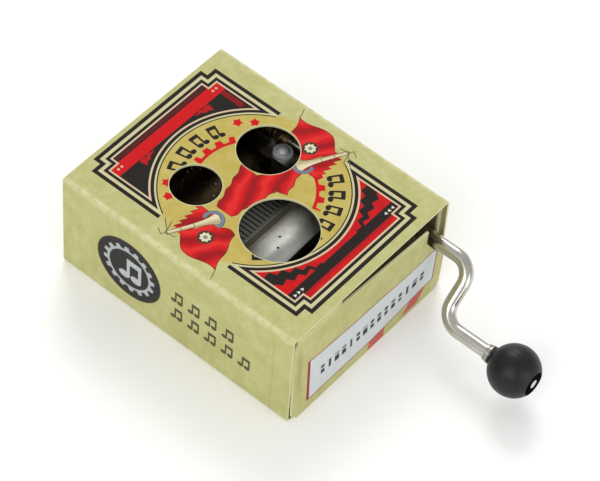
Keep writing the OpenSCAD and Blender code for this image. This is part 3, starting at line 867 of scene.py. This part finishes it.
# %% Plain card parts
BOARD_PALE = ink(196, 191, 160)
BOARD_CLOUD = ink(170, 164, 132)
BOARD_FIBRE = ink(150, 140, 104)


def make_plain(name, outward, folded=False):
    finish = card_finish(name)
    if folded:
        fold_wear(finish)
    card_edges(finish, outward)
    return finish.done(card_relief(finish))


def make_board(name, outward):
    finish = Finish(name, BOARD_PALE, roughness=0.75)
    finish.paint(BOARD_CLOUD, finish.noise(0.5, 4).beyond(0.5, 0.4) * 0.7)
    finish.paint(BOARD_FIBRE, finish.noise(2.2, 3, (1, 1, 0.3)).beyond(0.62, 0.2) * 0.5)
    card_edges(finish, outward)
    return finish.done(card_relief(finish))


dress(make_plain("printed_underside", (0, 0, -1), folded=True), "bottom_panel")
dress(make_plain("printed_rear_flap", (-1, 0, 0)), "rear_end_flap")
dress(make_board("board_front", (1, 0, 0)), "near_front_dust_flap", "far_front_dust_flap")
dress(make_board("board_rear", (-1, 0, 0)), "near_rear_dust_flap", "far_rear_dust_flap")
dress(make_board("board_tab", (0, 0, 1)), "front_tuck_tab", "rear_tuck_tab")
dress(make_board("board_glue_strip", (0, -1, 0)), "glue_flap")
print("plain card finished")

# %% [markdown]
# ## Printed front flap
#
# The flap at the crank's end has a pale label with a thin dark red border, thicker at
# its near end. The label carries a strip of upright bars and dots, like the holes in a
# paper music roll: each cell of the strip has its own random number, which sets how wide
# its bar is and where the bar is broken. Two salmon coloured tags hang from the label.

# %% Front flap
LABEL_INK = ink(196, 201, 203)
BORDER_INK = ink(146, 52, 50)
TAG_INK = ink(188, 76, 80)
ROLL_INK = ink(58, 58, 62)
LABEL_LIGHT = ink(206, 210, 210)
FLAP_EDGE_SHADE = ink(150, 132, 62)
roll_pitch = 2.2
label_low = (-18.2, 3.0)
label_high = (20.2, 15.0)
past_label = 30


def roll_marks(finish, u, v):
    """Upright bars and dots of several widths, like a music roll's holes."""
    cell = (u * (1 / roll_pitch)).do("FLOOR")
    random = finish.tree.nodes.new("ShaderNodeTexWhiteNoise")
    random.noise_dimensions = "1D"
    finish.feed(random.inputs["W"], cell)
    chance = Amount(finish.tree, random.outputs["Value"])
    spot = (u * (1 / roll_pitch)).do("FRACT").line(roll_pitch, -0.95)
    bar = (abs(spot) - chance.line(0.45, 0.3)).inside(0.12)
    gap = (abs(v - chance.line(1.6, 0.5)) - 0.22).inside(0.12) * chance.beyond(0.35, 0.01)
    return bar.without(gap)


def make_front_flap():
    finish = card_finish("printed_front_flap")
    right = finish.y.line(0.05, 0, clamp=True)
    bow = (finish.y - 4) * (1 / 24)
    sag = (bow * bow).line(1.36, -1.25) + right * right * right * 1.05
    face = finish.join(finish.y, finish.z - right * (right + 1))
    upper = finish.z - sag - label_high[1]
    label = finish.patch(face, label_low, (label_high[0], past_label), 0.1) * upper.inside(0.1)
    border_low = (label_low[0] - 0.8, label_low[1] - 0.28)
    outer = finish.patch(face, border_low, (label_high[0] + 0.3, past_label), 0.1)
    outer = outer * upper.below(0.3, 0.1)
    tag = finish.patch(finish.join(finish.y - finish.z * 0.15, finish.z), (0.3, 0.5), (5.0, 3.6), 0.3)
    slanted = finish.join(finish.y - finish.z * 0.9, finish.z)
    tag = tag.most(finish.patch(slanted, (10.2, 1.2), (14.6, 5.0), 0.3))
    finish.paint(TAG_INK, tag * finish.noise(1.2, 2).line(0.4, 0.7))
    finish.paint(BORDER_INK, outer)
    finish.paint(LABEL_INK, label)
    finish.paint(LABEL_LIGHT, label * finish.noise(0.6, 3).beyond(0.5, 0.3) * 0.5)
    v = finish.z - sag * 0.55 - right * right * 0.8 - 7.65
    strip = v.between(0, 2.5, 0.15) * finish.y.between(-15.0, 17.6, 0.1)
    finish.paint(ROLL_INK, roll_marks(finish, finish.y + 15.2, v) * strip)
    top_wear = finish.z.between(23.9, 26.0, 0.6)
    finish.paint(WORN, top_wear * finish.noise(0.6, 2).beyond(0.45, 0.4) * 0.6)
    # Painted shade: a darker band along the flap's near edge, where it sits deeper behind the sleeve's cut
    # edge.
    flap_edge_shade = abs(finish.y + 21.6).below(0.7, 1.2)
    finish.paint(FLAP_EDGE_SHADE, flap_edge_shade * finish.z.between(8, 21, 5) * 0.45)
    card_edges(finish, (1, 0, 0))
    return finish.done(card_relief(finish))


dress(make_front_flap(), "front_end_flap")
print("front flap finished")

# %% [markdown]
# ## Metals of the movement
#
# Every metal is fully metallic; what sets them apart is colour, roughness and the marks
# of how they were made. The comb is ground along its back, so it has fine long lines and
# broad soft waves; its teeth are painted darker, and its back carries a painted highlight.
# The zinc bedplate is cast and grainy. The turned brass cylinder has rings, the cut brass
# gears are plain, and drawn wire is smooth and bright with faint lengthwise lines. The
# bedplate, the cylinder and the gears are painted darker than their bare metals, as
# painted shade for the inside of the box.

# %% Metal finishes
GROUND_STEEL = ink(176, 178, 170)
GROUND_DARK = ink(124, 122, 114)
TOOTH_DARK = ink(44, 45, 40)
BEVEL_GREY = ink(112, 106, 92)
ROOT_SHADE = ink(46, 43, 34)
BACK_HIGHLIGHT = ink(196, 200, 196)
FLANK_GREY = ink(64, 62, 52)
comb_top = box_mm("comb")[1].z


def metal(name, light, dark, roughness, lines, depth, spread=0.12):
    """Marked metal; a small number in lines stretches the marks along X, Y or Z."""
    finish = Finish(name, light, roughness=roughness, metallic=1.0)
    marks = finish.noise(1.4, 4, lines)
    finish.paint(dark, marks.beyond(0.55, 0.5) * 0.5)
    finish.paint(dark, finish.noise(0.35, 3).beyond(0.55, 0.35) * 0.35)
    return finish, finish.relief(marks, depth), marks.line(spread, roughness - spread / 2)


def simple_metal(name, *recipe, **more):
    finish, normal, rough = metal(name, *recipe, **more)
    return finish.done(normal, rough)


def make_comb():
    """Ground steel, with dark teeth, a bevel at their roots and a painted highlight on its back."""
    finish, normal, rough = metal("comb_steel", GROUND_STEEL, GROUND_DARK, 0.38, (0.6, 6, 1), 0.01)
    finish.paint(TOOTH_DARK, finish.x.below(0.75, 0.4))
    bevel = finish.x.between(0.7, 2.7, 0.3)
    finish.paint(BEVEL_GREY, bevel * 0.9)
    finish.paint(ROOT_SHADE, finish.x.below(4.8, 4.0) * finish.x.beyond(2.7, 0.4))
    # Painted highlight: the comb's back is painted brighter, as if it caught the light above the back.
    finish.paint(BACK_HIGHLIGHT, finish.x.beyond(8.4, 2.5) * 0.8)
    flank = finish.z.below(comb_top - 0.15, 0.2)
    finish.paint(FLANK_GREY, flank * finish.x.beyond(3.2, 0.5))
    wave = finish.noise(0.16, 1, (1, 0.25, 1))
    normal = finish.relief(wave, 0.4, normal)
    return finish.done(normal, rough + bevel * 0.4)


dress(make_comb(), "comb")
# The bedplate's zinc is painted darker than bare zinc, as painted shade inside the box.
zinc = simple_metal("cast_zinc", ink(96, 95, 92), ink(60, 59, 56), 0.55, (3, 3, 3), 0.03, spread=0.2)
dress(zinc, "bedplate")
lead = simple_metal("lead", ink(92, 92, 96), ink(58, 58, 62), 0.6, (2, 2, 2), 0.03, spread=0.2)
dress(lead, "comb_weights")
screw_steel = simple_metal("screw_steel", ink(168, 166, 160), ink(104, 102, 98), 0.32, (5, 5, 1), 0.008)
dress(screw_steel, "comb_screws", "bearing_screws", "mounting_screws")
nickel = simple_metal("nickel_plate", ink(186, 184, 178), ink(130, 127, 118), 0.3, (0.5, 4, 4), 0.006)
dress(nickel, "far_bearing", "crank_bracket", "knob_collars", "knob_washer")
flanged = simple_metal("flanged_screw", ink(226, 228, 230), ink(180, 182, 184), 0.72, (4, 4, 1), 0.006)
dress(flanged, "bracket_screw")
pin_steel = simple_metal("pin_steel", ink(150, 148, 142), ink(90, 88, 84), 0.3, (3, 3, 3), 0.005)
dress(pin_steel, "cylinder_pins", "cylinder_arbor")
# The cylinder's brass is painted dark, as painted shade inside the box.
cylinder_brass = simple_metal("cylinder_brass", ink(92, 80, 58), ink(58, 48, 32), 0.4, (0.4, 6, 0.4), 0.01)
dress(cylinder_brass, "cylinder_tube", "cylinder_ends")
# The gears' brass is painted darker than bare brass, as painted shade inside the box.
gear_brass = simple_metal("gear_brass", ink(126, 108, 70), ink(84, 70, 44), 0.4, (4, 4, 4), 0.01)
dress(gear_brass, "worm_wheel", "worm", "thrust_collars")
wire = simple_metal("crank_wire", ink(206, 204, 196), ink(162, 158, 146), 0.2, (0.25, 3, 3), 0.004,
                    spread=0.1)
dress(wire, "crank_rod")
print("metals finished")

# %% [markdown]
# ## Knob
#
# The ball is moulded in black plastic with a satin skin: a very dark grey, even gloss
# broken by fine handling marks, and a hair-thin parting line where the mould closed.

# %% Knob finish
PLASTIC_BLACK = ink(10, 13, 15)
PLASTIC_CLOUD = ink(24, 29, 32)
SCUFF_GREY = ink(46, 47, 48)
knob_low, knob_high = box_mm("knob")
knob_middle = (knob_low + knob_high) / 2


def make_knob():
    finish = Finish("black_plastic", PLASTIC_BLACK, roughness=0.42)
    finish.paint(PLASTIC_CLOUD, finish.noise(1.2, 4).beyond(0.5, 0.4) * 0.5)
    scuffs = finish.noise(5, 3, (1, 0.3, 1))
    finish.paint(SCUFF_GREY, scuffs.beyond(0.66, 0.1) * 0.4)
    seam = abs(finish.y - knob_middle.y).below(0.05, 0.1)
    normal = finish.relief(scuffs, 0.015)
    normal = finish.relief(seam, 0.03, normal)
    finish.shader.inputs["Specular IOR Level"].default_value = 0.3
    return finish.done(normal, finish.noise(2.5, 3).line(0.16, 0.34))


dress(make_knob(), "knob")
print("knob finished")

# %% [markdown]
# ## Creases
#
# The CAD model leaves a hair's gap at each fold, so that the flaps can turn. On the real
# box the card runs through the fold, crushed along a line. Each crease here is a short
# strip of card that is shaped to fill the gap and bends between the two parts it joins.
# Its cross-section is swept along the fold in many steps, with a slight ripple from the
# creasing rule.

# %% Crease strips
STEP_LENGTH = 0.8
RIPPLE_HEIGHT = 0.012


def crease_finish():
    """Cracked print along a fold."""
    finish = card_finish("creased_card")
    finish.paint(WORN, finish.noise(1.5, 3, (1, 2, 1)).beyond(0.5, 0.3) * 0.6)
    return finish.done(card_relief(finish))


creased_card = crease_finish()


def crease(name, outline, y0, y1):
    """A strip with the given X-Z outline in millimetres, from y0 to y1 along the fold."""
    steps = max(int((y1 - y0) / STEP_LENGTH), 4)
    mesh = bmesh.new()
    rings = []
    for k in range(steps + 1):
        y = y0 + (y1 - y0) * k / steps
        ring = []
        for i, (x, z) in enumerate(outline):
            ripple = RIPPLE_HEIGHT * math.sin(2.3 * y + 1.7 * i)
            ring.append(mesh.verts.new(((x + ripple) * MM, y * MM, (z + abs(ripple)) * MM)))
        rings.append(ring)
    for a, b in zip(rings, rings[1:]):
        for i in range(len(outline)):
            j = (i + 1) % len(outline)
            mesh.faces.new((a[i], a[j], b[j], b[i]))
    mesh.faces.new(rings[0][::-1])
    mesh.faces.new(rings[-1])
    bmesh.ops.recalc_face_normals(mesh, faces=mesh.faces)
    data = bpy.data.meshes.new(name)
    mesh.to_mesh(data)
    mesh.free()
    piece = bpy.data.objects.new(name, data)
    scene.collection.objects.link(piece)
    data.materials.append(creased_card)
    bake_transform(piece)
    print(name, "has", len(data.polygons), "faces")


fold_x = 30.5
fold_z = card / 2
panel_end = fold_x - fold_z - 0.1
for name, way, ends, flap in (("front_bottom_crease", 1, (-21.6, 21.2), "front_flap"),
                              ("rear_bottom_crease", -1, (-21, 21), "rear_flap")):
    outline = [(panel_end, 0.02), (panel_end + 0.18, 0.015), (fold_x, 0.02), (fold_x + 0.05, 0.2),
               (fold_x - 0.1, 0.4), (panel_end, card - 0.02)]
    outline = [(way * x, z) for x, z in outline]
    crease(name, outline, ends[0], ends[1])

tab_x = 29.75
tab_z = 24.75
for name, way, ends, flap, tab in (("front_tab_crease", 1, (-22.6, -9.3), "front_flap", "front_tab"),
                                   ("rear_tab_crease", -1, (-21.1, 21.1), "rear_flap", "rear_tab")):
    outline = [(tab_x - 0.22, tab_z - 0.47), (tab_x + 0.27, tab_z - 0.47), (tab_x + 0.26, tab_z + 0.1),
               (tab_x + 0.17, tab_z + 0.42), (tab_x - 0.04, tab_z + 0.58), (tab_x - 0.4, tab_z + 0.6),
               (tab_x - 0.75, tab_z + 0.45), (tab_x - 0.9, tab_z + 0.27), (tab_x - 0.5, tab_z + 0.2)]
    outline = [(way * x, z) for x, z in outline]
    crease(name, outline, ends[0], ends[1])
print("four creases")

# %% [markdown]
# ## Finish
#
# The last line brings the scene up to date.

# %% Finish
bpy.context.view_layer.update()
